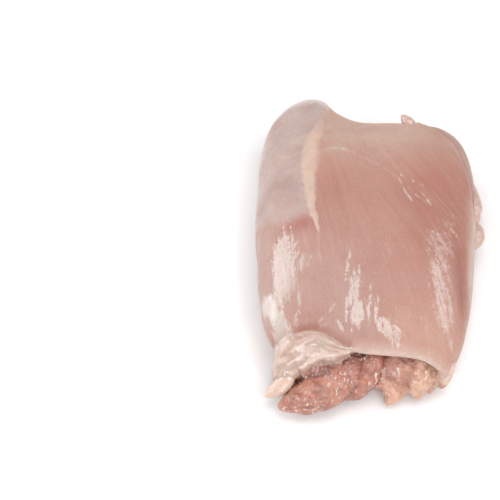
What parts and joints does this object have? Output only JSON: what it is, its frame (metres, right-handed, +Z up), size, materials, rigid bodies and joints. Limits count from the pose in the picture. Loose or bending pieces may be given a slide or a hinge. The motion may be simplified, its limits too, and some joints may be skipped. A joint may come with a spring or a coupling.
{
  "type": "raw chicken thigh fillet",
  "caption": "Raw skinless, boneless chicken thigh fillet, folded over with its smooth side out, loose folds of meat at the open end and a flap of pale fat.",
  "frame": {"origin": "on the table under the middle of the fillet's outline", "axes": "+Z up, +Y along the fillet from its open front end to its back end, +X to the right seen from the front"},
  "size_m": [0.0754, 0.118, 0.0269],
  "materials": {
    "raw_meat": "wet raw meat: pink, glossy and slightly translucent"
  },
  "bodies": {
    "root": {"thigh_fillet": "raw_meat"}
  },
  "joints": []
}
